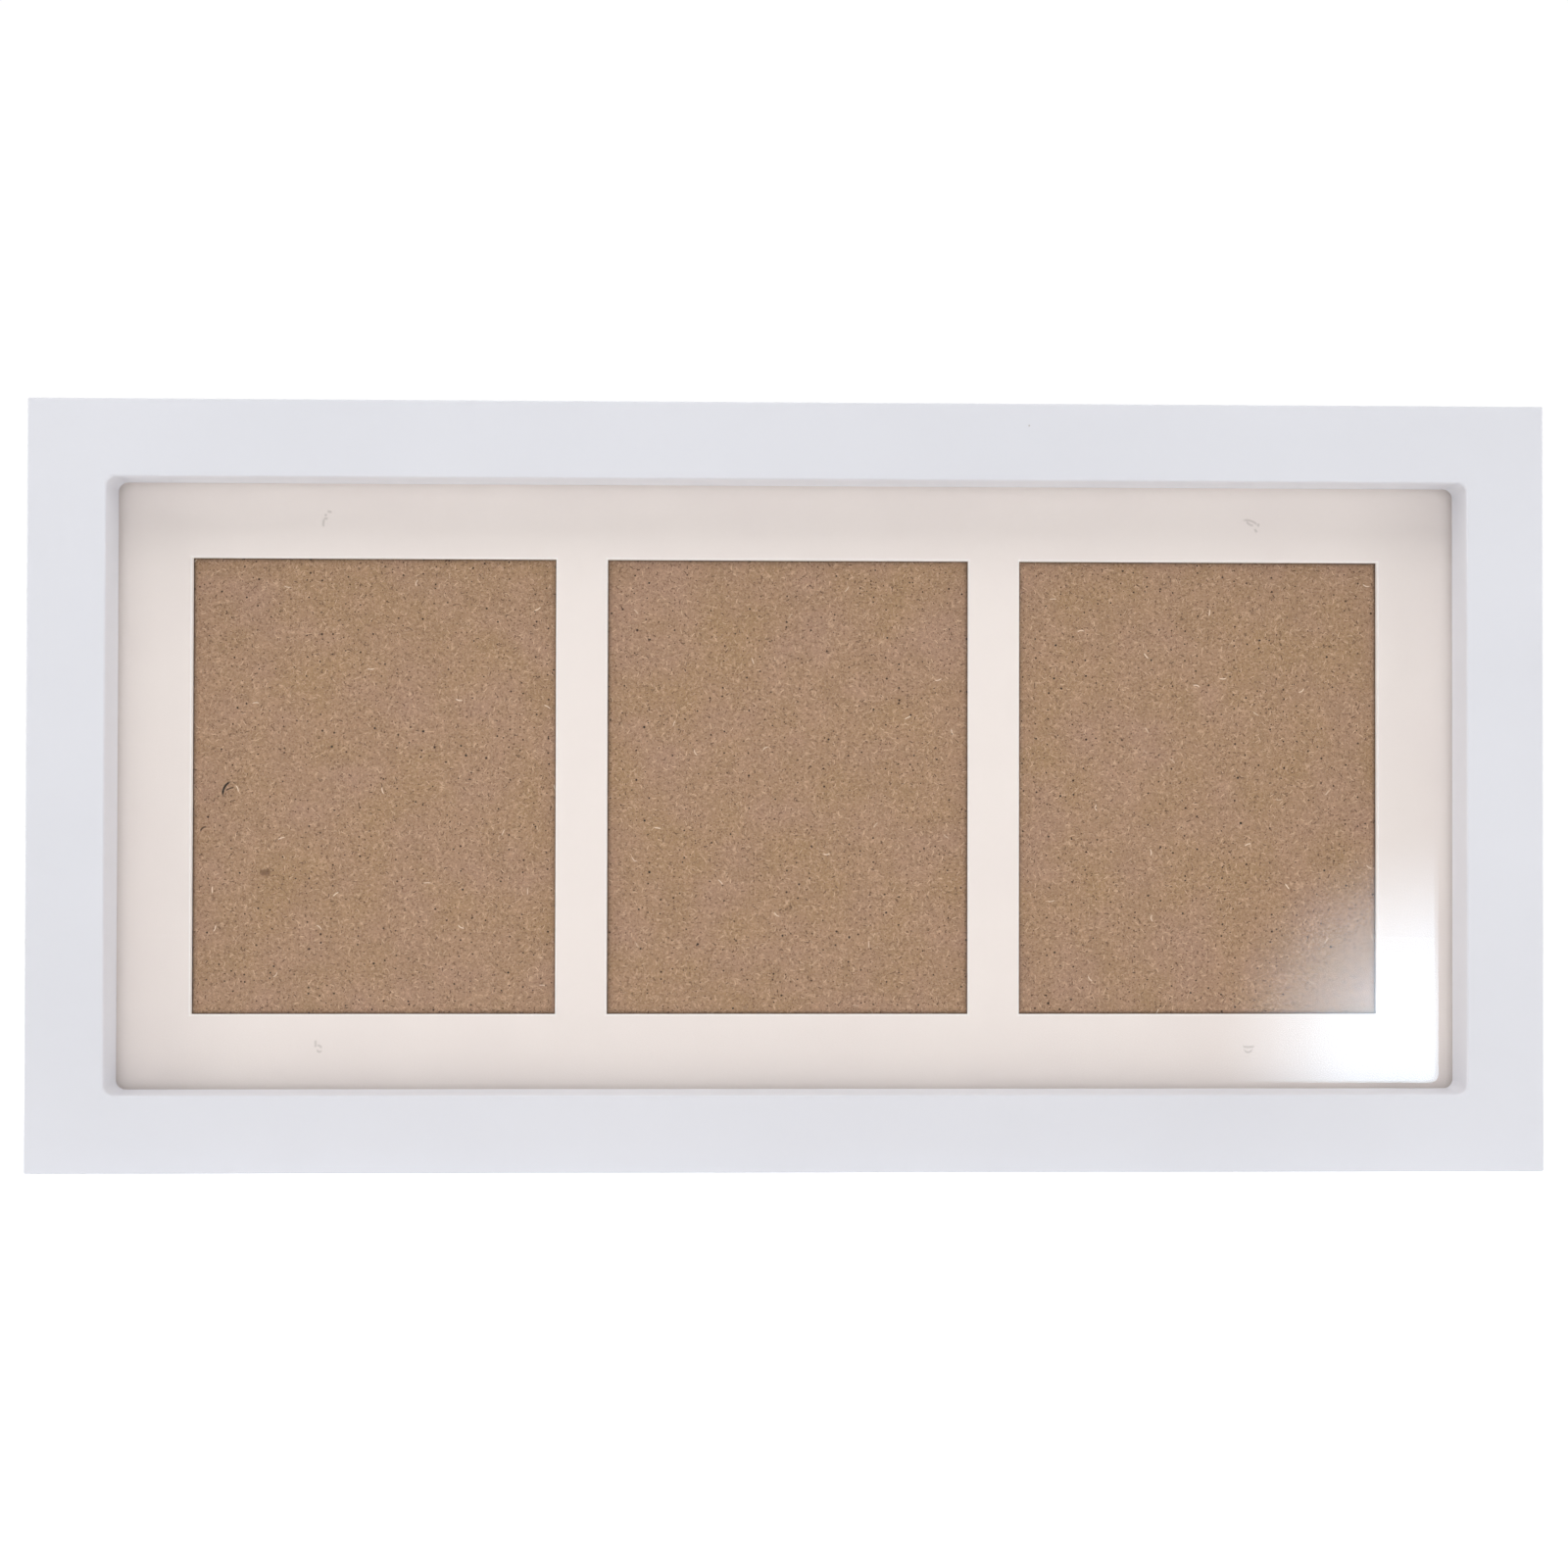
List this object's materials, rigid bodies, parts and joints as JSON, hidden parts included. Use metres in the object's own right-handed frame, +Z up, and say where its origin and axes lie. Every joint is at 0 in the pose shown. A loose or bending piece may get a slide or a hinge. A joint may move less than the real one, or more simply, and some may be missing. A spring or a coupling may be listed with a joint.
{
  "type": "handprint frame",
  "caption": "Wide white picture frame for baby prints, with a glazed recess over a cream mat, rectangular windows on a hardboard back, and a folding easel strut.",
  "frame": {"origin": "middle of the base, halfway through the board's thickness", "axes": "+X to the right as seen from the front, +Y from the front face to the back, +Z up"},
  "size_m": [0.39, 0.0233, 0.198],
  "materials": {
    "white_lacquer_mdf": "white satin lacquer on MDF",
    "float_glass": "polished clear",
    "mat_card": "matt cream, white core",
    "hot_melt_glue": "pressed flat",
    "hardboard": "raw, mottled brown",
    "zinc_plated_steel": "bright zinc plate"
  },
  "bodies": {
    "frame": {"frame_body": "white_lacquer_mdf", "glazing_pane": "float_glass", "window_mat": "mat_card", "mat_glue_dabs": "hot_melt_glue", "backing_board": "hardboard", "turn_button_screws": "zinc_plated_steel", "hanger_left": "zinc_plated_steel", "hanger_right": "zinc_plated_steel", "hanger_nails": "zinc_plated_steel", "hinge_fixed_leaf": "zinc_plated_steel", "hinge_pin": "zinc_plated_steel", "fixed_leaf_rivets": "zinc_plated_steel"},
    "strut": {"easel_strut": "hardboard", "hinge_moving_leaf": "zinc_plated_steel", "strut_rivets": "zinc_plated_steel"},
    "button_top_left": {"turn_button_top_left": "zinc_plated_steel"},
    "button_top_right": {"turn_button_top_right": "zinc_plated_steel"},
    "button_bottom_left": {"turn_button_bottom_left": "zinc_plated_steel"},
    "button_bottom_right": {"turn_button_bottom_right": "zinc_plated_steel"},
    "button_left": {"turn_button_left": "zinc_plated_steel"},
    "button_right": {"turn_button_right": "zinc_plated_steel"}
  },
  "joints": [
    {"name": "strut_fold", "type": "hinge", "parent": "frame", "child": "strut", "pos_m": [0, 0.0111, 0.15875], "axis": [1, 0, 0], "range_deg": [0, 30]},
    {"name": "turn_top_left", "type": "hinge", "parent": "frame", "child": "button_top_left", "pos_m": [-0.07495, 0.0096, 0.19125], "axis": [0, 1, 0], "range_deg": [-90, 90]},
    {"name": "turn_top_right", "type": "hinge", "parent": "frame", "child": "button_top_right", "pos_m": [0.07495, 0.0096, 0.19125], "axis": [0, 1, 0], "range_deg": [-90, 90]},
    {"name": "turn_bottom_left", "type": "hinge", "parent": "frame", "child": "button_bottom_left", "pos_m": [-0.07495, 0.0096, 0.00675], "axis": [0, 1, 0], "range_deg": [-90, 90]},
    {"name": "turn_bottom_right", "type": "hinge", "parent": "frame", "child": "button_bottom_right", "pos_m": [0.07495, 0.0096, 0.00675], "axis": [0, 1, 0], "range_deg": [-90, 90]},
    {"name": "turn_left", "type": "hinge", "parent": "frame", "child": "button_left", "pos_m": [-0.18825, 0.0096, 0.099], "axis": [0, 1, 0], "range_deg": [-90, 90]},
    {"name": "turn_right", "type": "hinge", "parent": "frame", "child": "button_right", "pos_m": [0.18825, 0.0096, 0.099], "axis": [0, 1, 0], "range_deg": [-90, 90]}
  ]
}
